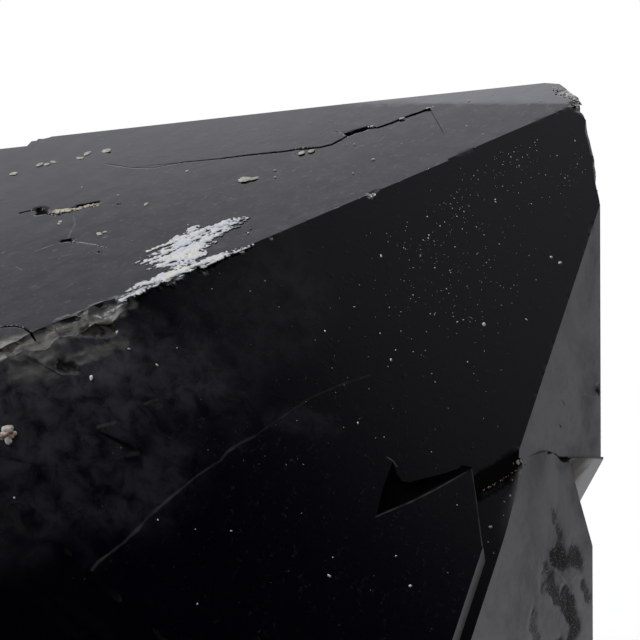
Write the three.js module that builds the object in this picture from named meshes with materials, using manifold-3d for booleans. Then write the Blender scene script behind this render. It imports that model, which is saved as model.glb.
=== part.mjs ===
// A morion quartz point: one broken-off crystal of nearly black smoky quartz.
//
// It is a six-sided prism that ends in a pyramid of six sloping faces. The faces of the pyramid did not grow
// alike, so the top is a short chisel edge and not a single point. The lower end, where it grew on rock, is
// cut off flat, and the crystal leans over as it stands on the cut.
//
// Sizes are millimetres. The crystal is built in its own frame, with the tip at the origin and its long axis
// along +Z, and is then turned to lean and set down on its cut.
import * as THREE from "three";
import { mergeVertices } from "three/addons/utils/BufferGeometryUtils.js";
import Module from "manifold-3d";

// The angle in degrees between the long axis and the normal of a pyramid face, which is fixed in quartz.
const PYRAMID_ANGLE = 51.79;

// The six pyramid faces, in degrees round the axis, and how far each passes outside the tip. The grey one
// grew a little out of true.
const PYRAMID_FACES = [
  { name: "black", azimuth: 0, angle: PYRAMID_ANGLE, distance: 0 },
  { name: "grey", azimuth: 58.6, angle: 52.4, distance: 3.62 },
  { name: "right", azimuth: 120, angle: PYRAMID_ANGLE, distance: 0.45 },
  { name: "back", azimuth: 180, angle: PYRAMID_ANGLE, distance: 3.4 },
  { name: "left", azimuth: 240, angle: PYRAMID_ANGLE, distance: 3.37 },
  { name: "upper", azimuth: 300, angle: PYRAMID_ANGLE, distance: -0.35 },
];

// The six prism faces below them lie this far from the axis through the tip.
const PRISM_DISTANCES = [36.3, 34.4, 32, 31, 32, 34.4];

// How the crystal stands: it leans from upright, the lean points this way, and it is turned about its axis.
const LEAN = THREE.MathUtils.degToRad(42.57);
const HEADING = THREE.MathUtils.degToRad(12.54);
const TURN = THREE.MathUtils.degToRad(-114.21);

// The height of the tip above the cut that the crystal stands on.
const TIP_HEIGHT = 72;

// Growth ledges go round the prism: their depths below the tip, how far each one steps out, and how far
// they wander.
const LEDGE_DEPTHS = [57, 66, 75, 83, 95, 112];
const LEDGE_STEP = 0.35;
const LEDGE_WANDER = 1.6;

// The last pane to grow on the upper face stands this much proud of the part below its broken edge.
const PANE_RISE = 0.1;

// A growth step beside the edge of the black face: how far it drops, and how far its wall lies inside the
// grey face next to it.
const STEP_DROP = 0.7;
const STEP_WALL = 0.57;

// The depth of the three-cornered pit beside that step.
const PIT_DEPTH = 1.1;

// The grey face steps out by this much below its ledge.
const GREY_STEP = 0.35;

// The right face steps in just below the tip, and again low down.
const RIGHT_UPPER_STEP = 0.45;
const RIGHT_LOWER_STEP = 1.6;

// Hollows round the rim of the cut, where the crystal broke from its rock.
const RIM_HOLLOWS = 19;

// Large enough to reach past the crystal from anywhere in it.
const BEYOND = 400;

const LONG_AXIS = new THREE.Vector3(0, 0, 1);

const BLACK_QUARTZ = new THREE.MeshStandardMaterial({
  name: "smoky_quartz",
  color: 0x0b0b0e,
  roughness: 0.12,
  metalness: 0,
});

const manifold = await Module();
manifold.setup();

// A closed three.js geometry, placed by a matrix, as a solid that can be joined and cut.
function solidFrom(geometry, matrix = new THREE.Matrix4()) {
  const bare = geometry.clone().applyMatrix4(matrix);
  bare.deleteAttribute("normal");
  bare.deleteAttribute("uv");
  const merged = mergeVertices(bare, 1e-5);
  return new manifold.Manifold(
    new manifold.Mesh({
      numProp: 3,
      vertProperties: merged.attributes.position.array,
      triVerts: new Uint32Array(merged.index.array),
    }),
  );
}

// The solid's surface as a three.js geometry again.
function geometryFrom(solid) {
  const mesh = solid.getMesh();
  const geometry = new THREE.BufferGeometry();
  geometry.setAttribute("position", new THREE.BufferAttribute(mesh.vertProperties, 3));
  geometry.setIndex(new THREE.BufferAttribute(mesh.triVerts, 1));
  return geometry.toNonIndexed();
}

// A repeatable stream of numbers from 0 to 1.
function numberStream(seed) {
  let state = seed;
  return () => {
    state = (state * 16807) % 2147483647;
    return state / 2147483647;
  };
}

// A crystal face: its outward normal, the level direction across it, the direction up its slope, and its
// distance from the tip along the normal. The angles are in degrees.
function crystalFace(azimuth, angle, distance) {
  const round = THREE.MathUtils.degToRad(azimuth);
  const tilt = THREE.MathUtils.degToRad(angle);
  const normal = new THREE.Vector3(
    Math.sin(tilt) * Math.cos(round),
    Math.sin(tilt) * Math.sin(round),
    Math.cos(tilt),
  );
  const across = new THREE.Vector3(-Math.sin(round), Math.cos(round), 0);
  const up = new THREE.Vector3().crossVectors(normal, across);
  return { normal, across, up, distance };
}

const prism = PRISM_DISTANCES.map((distance, i) => crystalFace(60 * i, 90, distance));
const pyramid = PYRAMID_FACES.map(({ azimuth, angle, distance }) => crystalFace(azimuth, angle, distance));
const [black, grey, right, back, left, upper] = pyramid;

// The matrix that puts a drawing on a face: x runs across it, y up its slope and z out of it. The drawing's
// origin is the face's nearest place to the tip.
function onFace(face, lift = 0) {
  const origin = face.normal.clone().multiplyScalar(face.distance + lift);
  return new THREE.Matrix4().makeBasis(face.across, face.up, face.normal).setPosition(origin);
}

// A column that stands on an outline on a face, from a depth below the face to well above it. The outline
// is a list of [across, down] pairs.
function column(face, outline, depth) {
  const shape = new THREE.Shape(outline.map(([across, down]) => new THREE.Vector2(across, -down)));
  const post = new THREE.ExtrudeGeometry(shape, { depth: depth + 12, bevelEnabled: false });
  return solidFrom(post, onFace(face, -depth));
}

// Everything on the outer side of a plane.
function outside(normal, distance) {
  const block = new THREE.BoxGeometry(BEYOND, BEYOND, BEYOND).translate(0, 0, BEYOND / 2);
  const turn = new THREE.Quaternion().setFromUnitVectors(LONG_AXIS, normal);
  const place = new THREE.Matrix4().makeRotationFromQuaternion(turn);
  place.setPosition(normal.clone().multiplyScalar(distance));
  return solidFrom(block, place);
}

// Everything above a plane that dips into a face. The plane goes through three places, each given as
// [across, down, depth below the face].
function aboveDip(face, places) {
  const [a, b, c] = places.map(([across, down, depth]) =>
    new THREE.Vector3(across, -down, -depth).applyMatrix4(onFace(face)),
  );
  const normal = new THREE.Plane().setFromCoplanarPoints(a, b, c).normal;
  if (normal.dot(face.normal) < 0) normal.negate();
  return outside(normal, normal.dot(a));
}

// The place on the edge between two faces that lies a given way from the tip, measured along a direction.
function edgePlace(faceA, faceB, direction, reach) {
  const planes = new THREE.Matrix3().set(
    ...faceA.normal.toArray(),
    ...faceB.normal.toArray(),
    ...direction.toArray(),
  );
  return new THREE.Vector3(faceA.distance, faceB.distance, reach).applyMatrix3(planes.invert());
}

// A line across a face that wanders up and down as it goes, as [across, down] pairs.
function wanderingLine(from, to, steps, wander, random) {
  const points = [];
  for (let i = 0; i <= steps; i++) {
    const share = i / steps;
    const stray = (2 * random() - 1) * wander;
    points.push([
      THREE.MathUtils.lerp(from[0], to[0], share),
      THREE.MathUtils.lerp(from[1], to[1], share) + stray,
    ]);
  }
  return points;
}

// The blank crystal, with flat faces and the outermost size that the prism reaches at its foot.
function blankCrystal() {
  const spread = LEDGE_STEP * LEDGE_DEPTHS.length;
  let body = solidFrom(new THREE.BoxGeometry(BEYOND, BEYOND, BEYOND));
  for (const face of prism) body = body.subtract(outside(face.normal, face.distance + spread));
  for (const face of pyramid) body = body.subtract(outside(face.normal, face.distance));
  return body;
}

// Above each growth ledge the prism is a little slimmer. A ledge goes round at a depth that differs from
// face to face.
function growthLedges() {
  const random = numberStream(417);
  const edge = 30;
  const top = -20;
  return prism.flatMap((face) =>
    LEDGE_DEPTHS.map((depth, i) => {
      const slope = 7 * (random() - 0.5);
      const line = wanderingLine([-edge, depth - slope], [edge, depth + slope], 9, LEDGE_WANDER, random);
      return column(face, [[edge, top], [-edge, top], ...line], -i * LEDGE_STEP);
    }),
  );
}

// The upper face is lower beside its last pane. The dip is deepest at the pane's right end, and runs out to
// the left.
function dipBesidePane() {
  const brokenEdge = [
    [-9, 36], [-7.1, 31.1], [-5.9, 28], [-5.2, 25.6], [-4.2, 22.6], [-3.4, 20.7], [-3.4, 19.7],
    [-4.5, 18.1], [-5.0, 16.2], [-4.6, 15.4], [-4.9, 14.0], [-5.3, 13.1], [-5.7, 11.3], [-6.0, 10.5],
    [-0.4, 11.3],
  ];
  const alongRidge = [[9, 14], [22, 50], [-2, 50]];
  const dip = aboveDip(upper, [[-6.0, 10.5, PANE_RISE], [6, 13.7, PANE_RISE], [-9, 36, 0]]);
  return column(upper, [...brokenEdge, ...alongRidge], 1).intersect(dip);
}

// A facet beside the tip that leans a degree or two off the upper face.
function tipFacet() {
  return aboveDip(upper, [[0.2, 0.6, 0], [-8.9, 13.0, 0], [-4.2, -0.2, 0.13]]);
}

// The step down beside the right edge of the black face. Its wall runs parallel to the grey face, then
// turns away from it towards the upper end, which is a sloping facet.
function sunkenStrip() {
  const floor = outside(black.normal, black.distance - STEP_DROP);
  const upperEnd = aboveDip(black, [[12.9, 33.2, 0], [14.2, 28.9, 0], [14.4, 33.7, STEP_DROP]]);
  const straightWall = outside(grey.normal, grey.distance - STEP_WALL);
  const turnedWall = aboveDip(black, [[13.5, 33.5, 0], [16.8, 36.9, 0], [13.75, 33.25, STEP_DROP]]);
  const strip = floor.intersect(upperEnd);
  return [strip.intersect(straightWall), strip.intersect(turnedWall)];
}

// The three-cornered pit on the black face, beside the upper end of that step. Its upper side curves in.
function cornerPit() {
  const [upperLeft, lowerLeft, rightTip] = [[7.8, 36.5], [9.4, 40.7], [12.5, 32.5]];
  const lowerSides = [[8.5, 38.7], lowerLeft, [10.6, 37.9]];
  const upperSide = [[12.0, 32.8], [11.2, 34.4], [10.1, 36.2], [9.7, 36.9], [9.3, 37.2], [8.7, 37.1]];
  const outline = [upperLeft, ...lowerSides, rightTip, ...upperSide];
  const floor = aboveDip(black, [[...upperLeft, 0], [...rightTip, 0], [...lowerLeft, PIT_DEPTH]]);
  return column(black, outline, 3).intersect(floor);
}

// Above its ledge the grey face is a step further in.
function greyAboveLedge() {
  const ledge = [[-30, 33.5], [-7, 31.4], [-3.2, 29.8], [-0.6, 29.9], [1.1, 29.3], [7.1, 27.7], [30, 23]];
  return column(grey, [...ledge, [30, -20], [-30, -20]], GREY_STEP);
}

// A notch is broken out of the right edge below that ledge. It has two facets, which meet at its deepest
// place.
function brokenRightEdge() {
  const deepest = [5.6, 31.2, 2.8];
  const upperFacet = aboveDip(grey, [[0.8, 29.3, 0], [7.1, 28.0, 0.1], deepest]);
  const lowerFacet = aboveDip(grey, [[2.6, 31.2, 0], [7.9, 35.3, 0], deepest]);
  return column(grey, [[-2, 24], [14, 24], [14, 40], [-2, 40]], 8).intersect(upperFacet).intersect(lowerFacet);
}

// The right face steps in below the tip, and further in low down.
function rightFaceSteps() {
  const foot = [[60, 90], [-60, 90]];
  const upperLine = [[-60, 3], [-9, 5.2], [-7, 6.2], [-4, 4.6], [-1, 7.4], [3, 5.8], [60, 12]];
  const lowerLine = [
    [-60, 33], [-17.5, 30], [-10, 31.8], [-6, 30.4], [0, 33.5], [7, 31], [14, 36], [60, 33],
  ];
  return [
    column(right, [...upperLine, ...foot], RIGHT_UPPER_STEP),
    column(right, [...lowerLine, ...foot], RIGHT_UPPER_STEP + RIGHT_LOWER_STEP),
  ];
}

// Growth steps on the faces at the back and the left of the pyramid: the face, how far it drops below the
// line, and the line.
function backSteps() {
  const foot = [[60, 90], [-60, 90]];
  const steps = [
    [back, 0.5, [[-60, 24], [-7, 21], [-3, 26], [2, 23], [4, 29], [60, 20]]],
    [back, 0.9, [[-60, 38], [-9, 34], [-4, 37], [3, 33], [8, 35.5], [60, 31]]],
    [left, 0.4, [[-60, 30], [-8, 26], [0, 29.5], [4, 27], [8.5, 43.5], [60, 43.5]]],
    [left, 1.1, [[-60, 52], [-6, 48], [2, 50], [7.5, 45.8], [11.8, 43.9], [60, 43.7]]],
  ];
  return steps.map(([face, drop, line]) => column(face, [...line, ...foot], drop));
}

// One conchoidal flake scar, cut by an uneven ball. It is long along one direction and thin along the other.
function flakeScar(centre, along, out, length, width, thickness, random) {
  const ball = new THREE.IcosahedronGeometry(1, 1);
  ball.deleteAttribute("normal");
  ball.deleteAttribute("uv");
  const lump = mergeVertices(ball);
  const corners = lump.attributes.position;
  for (let i = 0; i < corners.count; i++) {
    const swell = 0.86 + 0.28 * random();
    corners.setXYZ(i, corners.getX(i) * swell, corners.getY(i) * swell, corners.getZ(i) * swell);
  }
  const side = new THREE.Vector3().crossVectors(out, along).normalize();
  const squareOut = new THREE.Vector3().crossVectors(along, side);
  const place = new THREE.Matrix4()
    .makeBasis(along, side, squareOut)
    .scale(new THREE.Vector3(length, width, thickness))
    .setPosition(centre);
  return solidFrom(lump, place);
}

// Flake scars in a row along the edge between two faces, from one reach along a direction to another. Bite
// is how deep they cut into the edge.
function chippedEdge(faceA, faceB, from, to, count, size, bite, seed, direction = LONG_AXIS) {
  const random = numberStream(seed);
  const start = edgePlace(faceA, faceB, direction, from);
  const end = edgePlace(faceA, faceB, direction, to);
  const along = end.clone().sub(start).normalize();
  const out = faceA.normal.clone().add(faceB.normal).normalize();
  const scars = [];
  for (let i = 0; i < count; i++) {
    const share = (i + 0.15 + 0.7 * random()) / count;
    const width = size * (0.55 + 0.75 * random());
    const thickness = 0.6 * width;
    const cut = bite * (0.5 + 0.8 * random());
    const centre = start.clone().lerp(end, share).addScaledVector(out, thickness - cut);
    centre.addScaledVector(faceA.across, 0.5 * width * (random() - 0.5));
    scars.push(flakeScar(centre, along, out, 1.5 * width, width, thickness, random));
  }
  return scars;
}

// Scars on the edges of the pyramid: fine crumbs at the tip, a rough stretch low on the ridge, and odd ones.
function pyramidScars() {
  return [
    ...chippedEdge(black, right, -0.4, -5.2, 9, 0.8, 0.3, 11),
    ...chippedEdge(upper, right, 0.2, 2.2, 4, 0.7, 0.25, 12),
    ...chippedEdge(black, upper, -33.6, -41, 8, 1.2, 0.45, 13),
    ...chippedEdge(black, upper, -15.6, -16.4, 1, 0.6, 0.2, 14),
    ...chippedEdge(black, upper, -27, -28, 1, 0.9, 0.3, 15),
    ...chippedEdge(upper, left, -31.6, -32.8, 1, 0.9, 0.35, 16),
    ...chippedEdge(black, prism[0], -17, 17, 9, 0.7, 0.12, 19, black.across),
    ...chippedEdge(back, left, -6, -34, 7, 1.3, 0.35, 20),
    ...chippedEdge(right, back, -6, -34, 7, 1.2, 0.35, 21),
  ];
}

// Larger scars down the long edges of the prism.
function prismScars() {
  const random = numberStream(77);
  return prism.flatMap((face, i) => {
    const next = prism[(i + 1) % prism.length];
    const start = -52 - 14 * random();
    return chippedEdge(face, next, start, start - 46, 4, 2.4, 0.5, 300 + i);
  });
}

// Shallow broken hollows round the rim of the cut. Up is the direction away from the cut.
function rimHollows(up) {
  const random = numberStream(5);
  const middle = LONG_AXIS.clone().multiplyScalar(-TIP_HEIGHT / up.z);
  const sideways = new THREE.Vector3(1, 0, 0).projectOnPlane(up).normalize();
  const hollows = [];
  for (let i = 0; i < RIM_HOLLOWS; i++) {
    const turn = ((i + 0.7 * random()) / RIM_HOLLOWS) * 2 * Math.PI;
    const outward = sideways.clone().applyAxisAngle(up, turn);
    const facing = prism.filter((face) => face.normal.dot(outward) > 0);
    const reaches = facing.map((face) => (face.distance - face.normal.dot(middle)) / face.normal.dot(outward));
    const size = 6 + 9 * random();
    const thickness = 0.45 * size;
    const bite = 0.5 + 1.3 * random();
    const centre = middle.clone().addScaledVector(outward, Math.min(...reaches) + thickness - bite);
    centre.addScaledVector(up, 4 * random() - 2);
    const round = new THREE.Vector3().crossVectors(up, outward);
    hollows.push(flakeScar(centre, round, outward, size, 0.8 * size, thickness, random));
  }
  return hollows;
}

// The turn that makes the crystal lean, and the direction in the crystal's own frame that is then up.
const standing = new THREE.Quaternion()
  .setFromAxisAngle(LONG_AXIS, HEADING)
  .multiply(new THREE.Quaternion().setFromAxisAngle(new THREE.Vector3(0, 1, 0), LEAN))
  .multiply(new THREE.Quaternion().setFromAxisAngle(LONG_AXIS, TURN));
const upright = LONG_AXIS.clone().applyQuaternion(standing.clone().invert());

const cuts = [
  ...growthLedges(),
  dipBesidePane(),
  tipFacet(),
  ...sunkenStrip(),
  cornerPit(),
  greyAboveLedge(),
  brokenRightEdge(),
  ...rightFaceSteps(),
  ...backSteps(),
  ...pyramidScars(),
  ...prismScars(),
  ...rimHollows(upright),
  outside(upright.clone().negate(), TIP_HEIGHT),
];
const cutCrystal = cuts.reduce((body, cut) => body.subtract(cut), blankCrystal());

// Crumbs that the scars cut free are dropped.
const [crystal] = cutCrystal.decompose().sort((a, b) => b.volume() - a.volume());

// The middle of the crystal's box is above the origin, and its cut is level with it.
const point = new THREE.Mesh(geometryFrom(crystal), BLACK_QUARTZ);
point.name = "quartz_point";
point.quaternion.copy(standing);
const box = new THREE.Box3().setFromObject(point, true);
point.position.set(-(box.min.x + box.max.x) / 2, -(box.min.y + box.max.y) / 2, TIP_HEIGHT);

const specimen = new THREE.Group();
specimen.add(point);
export default specimen;
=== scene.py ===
import math

import bpy
import numpy as np
from mathutils import Matrix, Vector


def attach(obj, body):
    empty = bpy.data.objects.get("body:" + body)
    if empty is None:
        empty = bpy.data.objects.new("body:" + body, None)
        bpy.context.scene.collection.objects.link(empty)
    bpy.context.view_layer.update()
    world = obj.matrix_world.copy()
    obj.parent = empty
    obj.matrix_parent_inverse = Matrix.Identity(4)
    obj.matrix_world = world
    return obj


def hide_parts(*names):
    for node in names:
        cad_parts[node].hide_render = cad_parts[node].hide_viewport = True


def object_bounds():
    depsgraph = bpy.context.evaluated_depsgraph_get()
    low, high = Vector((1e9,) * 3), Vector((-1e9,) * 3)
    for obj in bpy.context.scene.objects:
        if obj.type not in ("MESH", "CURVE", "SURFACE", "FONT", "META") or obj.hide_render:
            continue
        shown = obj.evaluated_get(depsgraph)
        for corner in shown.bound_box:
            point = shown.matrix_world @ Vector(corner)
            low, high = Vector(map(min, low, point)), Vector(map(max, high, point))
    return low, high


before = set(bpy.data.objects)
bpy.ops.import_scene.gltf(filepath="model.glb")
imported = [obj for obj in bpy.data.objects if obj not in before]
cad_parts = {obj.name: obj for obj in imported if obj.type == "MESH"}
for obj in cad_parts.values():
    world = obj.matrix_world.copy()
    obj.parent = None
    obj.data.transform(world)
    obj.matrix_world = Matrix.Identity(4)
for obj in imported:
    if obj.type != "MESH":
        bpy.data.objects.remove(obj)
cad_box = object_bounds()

# The view.
# A long lens looks down on the tip from the front and a little above, close enough that the
# frame holds only the upper corner of the crystal. It stands 192 mm from the tip.
TIP = np.array([56.138, 12.617, 72.0])
EYE_FROM_TIP = np.array([-20.56, -186.52, 48.90])
VIEW_PITCH = 20.0

view = bpy.data.cameras.new("view")
view.lens = 135.0
view.sensor_width = 36.0
view.clip_start = 0.01
viewer = bpy.data.objects.new("view", view)
viewer.location = (TIP + EYE_FROM_TIP) * 0.001
viewer.rotation_euler = (math.radians(90.0 - VIEW_PITCH), 0.0, 0.0)
bpy.context.scene.collection.objects.link(viewer)
bpy.context.scene.camera = viewer

# The crystal.
# One point of nearly black smoky quartz, grown in rock and broken off, with its lower end sawn
# and ground flat. It is a single natural piece, so everything else in the file grows or lies on it.
LEAN, HEADING, TURN = 42.57, 12.54, -114.21
PYRAMID = 51.79


def turned(axis, degrees):
    """Rotation matrix of one turn about the y or z axis."""
    c, s = math.cos(math.radians(degrees)), math.sin(math.radians(degrees))
    if axis == "y":
        return np.array([[c, 0, s], [0, 1, 0], [-s, 0, c]])
    return np.array([[c, -s, 0], [s, c, 0], [0, 0, 1]])


POSED = turned("z", HEADING) @ turned("y", LEAN) @ turned("z", TURN)


def crystal_face(azimuth, tilt, distance):
    """Rows are the face's outward normal, its level direction and the way down it; the last is
    the point of the face nearest to the tip's corner of the ideal crystal."""
    a, t = math.radians(azimuth), math.radians(tilt)
    normal = np.array([math.sin(t) * math.cos(a), math.sin(t) * math.sin(a), math.cos(t)])
    across = np.array([-math.sin(a), math.cos(a), 0.0])
    down = np.array([math.cos(t) * math.cos(a), math.cos(t) * math.sin(a), -math.sin(t)])
    return np.array([POSED @ normal, POSED @ across, POSED @ down, TIP + POSED @ normal * distance])


FACES = {
    "black": crystal_face(0, PYRAMID, 0.0),
    "grey": crystal_face(58.57, 52.38, 3.27),
    "right": crystal_face(120, PYRAMID, 0.45),
    "back": crystal_face(180, PYRAMID, 3.4),
    "left": crystal_face(240, PYRAMID, 3.37),
    "upper": crystal_face(300, PYRAMID, -0.35),
    "prism_0": crystal_face(0, 90, 36.3),
    "prism_60": crystal_face(60, 90, 34.4),
    "prism_120": crystal_face(120, 90, 32.0),
    "prism_180": crystal_face(180, 90, 31.0),
    "prism_240": crystal_face(240, 90, 32.0),
    "prism_300": crystal_face(300, 90, 34.4),
}


def on_face(face, across, down, lift=0.0):
    """Points that many millimetres across and down a face, and lifted off it."""
    normal, level, slope, origin = FACES[face]
    across, down, lift = np.broadcast_arrays(across, down, lift)
    return origin + across[..., None] * level + down[..., None] * slope + lift[..., None] * normal


def place_on(face, points):
    """Across, down and depth under the face of each point, in millimetres."""
    normal, level, slope, origin = FACES[face]
    away = points - origin
    return away @ level, away @ slope, -(away @ normal)


def drift(points, size, seed):
    """Smooth noise from -1 to 1: random values on a lattice of this cell size, blended between
    the eight corners of each cell with an ease curve."""
    table = np.random.default_rng(seed).uniform(-1, 1, (32, 32, 32))
    scaled = np.asarray(points) / size
    cell = np.floor(scaled).astype(int)
    part = scaled - cell
    part = part * part * (3 - 2 * part)
    total = 0.0
    for corner in np.ndindex(2, 2, 2):
        share = np.prod(np.where(corner, part, 1 - part), axis=-1)
        total = total + share * table[tuple(((cell + corner) % 32).T)]
    return total


def step(low, high, value):
    """0 under low, 1 over high, and an ease curve between."""
    share = np.clip((value - low) / (high - low), 0, 1)
    return share * share * (3 - 2 * share)


def line_distance(places, line):
    """Distance of places (n x 2) from an open line of straight stretches."""
    nearest = np.full(len(places), 1e3)
    for a, b in zip(line[:-1], line[1:]):
        a, b = np.array(a), np.array(b)
        along = np.clip((places - a) @ (b - a) / ((b - a) @ (b - a)), 0, 1)
        nearest = np.minimum(nearest, np.linalg.norm(places - a - along[:, None] * (b - a), axis=1))
    return nearest


# What has happened to the faces: kind, half width, strength, and a line in millimetres across
# and down the face. The first table has crisp borders.
MARKS = {}
MARKS["upper"] = [
    # The open crack of the upper face, with its side branches.
    ("crack", 0.1, 1.0, [(-4.87, 44.96), (-4.84, 44.25), (-4.7, 43.71)]),
    ("crack", 0.42, 1.0, [(-4.7, 43.5), (-3.9, 43.35)]),
    ("crack", 0.08, 0.8, [(-3.6, 43.2), (-2.61, 42.59)]),
    ("crack", 0.2, 1.0, [(-3.01, 41.55), (-3.26, 40.94)]),
    ("crack", 0.22, 1.0, [(-3.42, 40.51), (-3.38, 39.79), (-3.24, 39.1)]),
    ("crack", 0.24, 1.0, [(2.45, 43.05), (2.61, 42.46)]),
    ("crack", 0.06, 0.9, [(3.03, 42.47), (3.8, 41.61), (4.65, 40.94), (5.69, 40.31)]),
    ("crack", 0.1, 1.0, [(6.09, 40.94), (6.13, 40.87)]),
    ("crack", 0.1, 1.0, [(-1.95, 37.69), (-1.9, 37.62)]),
    ("pale", 0.07, 0.6, [(-1.76, 41.33), (-0.14, 41.5), (0.99, 42.05), (2.15, 42.52)]),
    ("pale", 0.05, 0.8, [(3.04, 45.26), (2.9, 44.54), (2.76, 43.81)]),
    ("pale", 0.05, 0.8, [(3.85, 44.03), (3.72, 43.61)]),
    ("pale", 0.05, 0.9, [(2.00, 47.62), (1.63, 47.25)]),
    ("pale", 0.05, 0.3, [(2.18, 47.19), (3.00, 45.64)]),
    ("pale", 0.07, 0.4, [(4.94, 44.55), (5.42, 42.26)]),
    ("pale", 0.05, 0.9, [(5.08, 47.1), (5.88, 46.79)]),
    ("pale", 0.05, 0.9, [(3.74, 40.12), (3.56, 39.77)]),
    ("pale", 0.05, 0.7, [(4.42, 39.57), (4.6, 39.14)]),
    ("crack", 0.1, 0.9, [(14.59, 49.99), (15.04, 48.99), (15.72, 48.47), (17.2, 48.0)]),
    # The broken edge of the last pane.
    ("crack", 0.05, 0.25, [(-10.6, 36.8), (-8.4, 35.0), (-7.4, 33.6), (-7.1, 31.1), (-5.9, 28.0)]),
    ("crack", 0.07, 0.9, [(-5.92, 28.03), (-5.2, 25.63), (-4.28, 23.3), (-4.1, 22.01), (-3.42, 20.7),
                          (-3.43, 19.69), (-4.3, 18.15)]),
    ("crack", 0.25, 1.0, [(-4.71, 18.02), (-4.92, 17.1), (-5.04, 16.22)]),
    ("crack", 0.07, 0.9, [(-5.14, 16.18), (-4.59, 15.42), (-4.86, 14.05), (-5.23, 13.15), (-5.67, 11.28),
                          (-5.99, 10.48)]),
    ("crack", 0.05, 0.6, [(-5.76, 18.8), (-5.06, 18.00)]),
]
MARKS["black"] = [
    # The healed crack of the black face, and the scratches and dark cuts beside its worn corner.
    ("pale", 0.11, 0.34, [(-2.76, 58.46), (-2.83, 57.73), (-2.64, 56.66), (-2.45, 55.36), (-2.35, 53.94),
                          (-2.41, 52.88), (-2.25, 51.06), (-2.05, 49.5)]),
    ("pale", 0.09, 0.3, [(-2.05, 49.5), (-1.84, 47.82), (-1.37, 45.85), (-1.43, 44.95), (-1.19, 43.84),
                          (-0.74, 42.51)]),
    ("pale", 0.07, 0.16, [(-0.74, 42.51), (-0.48, 41.04), (-0.17, 39.62), (0.34, 37.2), (1.32, 34.71),
                          (2.46, 32.38)]),
    ("cut", 0.15, 1.0, [(-8.88, 50.46), (-7.65, 50.05), (-6.41, 49.63)]),
    ("cut", 0.08, 0.7, [(-9.05, 45.11), (-7.61, 45.37)]),
    ("pale", 0.13, 0.42, [(-9.17, 50.23), (-8.87, 49.7), (-8.55, 49.12)]),
    ("pale", 0.12, 0.26, [(-7.93, 46.46), (-7.56, 45.54)]),
    ("pale", 0.16, 0.2, [(-6.33, 50.39), (-5.92, 49.66)]),
    ("cut", 0.14, 0.4, [(-16.04, 49.83), (-14.52, 49.43), (-12.9, 49.03)]),
    # Fine light lines along the pit and the sunken strip.
    ("pale", 0.05, 1.0, [(7.29, 36.58), (7.81, 36.49), (8.26, 36.62)]),
    ("pale", 0.05, 0.6, [(9.45, 40.85), (10.1, 39.35), (10.72, 37.95), (11.5, 35.8), (12.35, 33.1)]),
    ("pale", 0.05, 0.6, [(12.55, 32.61), (13.33, 33.38), (14.00, 34.05), (14.9, 35.00), (15.5, 35.62),
                          (16.00, 36.15), (16.62, 36.78)]),
]
MARKS["grey"] = [
    # Scratches and small dark nicks of the grey face, and a painted shadow line along the foot of its ledge.
    ("pale", 0.05, 0.8, [(0.93, 38.03), (3.7, 38.63), (7.19, 39.9)]),
    ("pale", 0.05, 0.8, [(6.46, 36.24), (1.93, 40.76)]),
    ("pale", 0.05, 0.7, [(0.51, 36.34), (1.39, 37.7)]),
    ("pale", 0.05, 0.7, [(3.7, 38.63), (3.39, 39.94), (5.4, 41.1)]),
    ("pale", 0.04, 0.6, [(2.1, 23.9), (4.4, 23.6)]),
    ("cut", 0.07, 1.0, [(-1.53, 25.42), (-0.86, 25.63)]),
    ("cut", 0.08, 1.0, [(-1.23, 27.31), (-1.00, 27.41)]),
    # The next two rows are the painted shadow line along the foot of the ledge.
    ("cut", 0.1, 1.0, [(-3.3, 30.00), (-2.4, 29.72), (-1.5, 29.76)]),
    ("cut", 0.2, 1.0, [(-1.5, 29.78), (-0.4, 29.8), (0.9, 29.45)]),
]
# The second table has soft borders.
STAINS = {}
STAINS["black"] = [
    # The worn corner of the black face under the long edge: pale streaks, then a dark hollow.
    ("haze", 1.1, 1.0, [(-18.0, 50.5), (-16.6, 49.1), (-15.7, 48.5)]),
    ("haze", 0.85, 0.9, [(-16.2, 48.0), (-15.5, 46.2), (-14.9, 44.6)]),
    ("haze", 0.9, 0.5, [(-15.9, 51.2), (-14.7, 49.7)]),
    ("haze", 0.5, 0.6, [(-13.8, 47.8), (-12.9, 45.9), (-12.2, 43.9)]),
    ("haze", 0.7, 0.8, [(-14.9, 44.3), (-14.3, 42.8), (-13.8, 41.1)]),
    ("hollow", 0.62, 1.0, [(-14.5, 45.2), (-13.5, 43.8)]),
    ("hollow", 0.45, 0.8, [(-13.9, 48.59), (-13.3, 48.09)]),
    ("cloud", 2.3, 0.95, [(-17.0, 54.0), (-14.8, 51.2), (-12.9, 47.8), (-11.9, 44.5)]),
    ("cloud", 3.8, 0.6, [(-14.6, 56.9), (-11.5, 52.0), (-9.6, 47.5), (-8.6, 43.5)]),
    ("cloud", 3.4, 0.4, [(-10.5, 58.0), (-6.3, 55.0), (-4.8, 51.0)]),
    ("cloud", 4.4, 0.2, [(-9.0, 55.0), (-6.8, 50.5), (-6.6, 45.0), (-7.2, 39.5), (-7.4, 34.0)]),
    ("cloud", 0.8, 0.22, [(-0.6, 40.4), (0.9, 39.1), (2.6, 38.0)]),
    # Painted shade: the end facet of the sunken strip, the wall beside it, and small breaks of two edges are
    # turned dark and matt, shade painted over their reflections.
    ("painted_shade", 1.2, 0.8, [(-9.0, 24.0), (-12.0, 34.5), (-13.2, 38.2)]),
    ("painted_shade", 1.2, 1.0, [(-19.0, 58.7), (19.0, 58.7)]),
    ("painted_shade", 0.95, 1.0, [(13.6, 33.0), (14.1, 31.1), (14.8, 29.2)]),
    ("painted_shade", 0.7, 0.9, [(13.6, 33.4), (15.2, 35.0), (16.4, 36.3)]),
]
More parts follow.
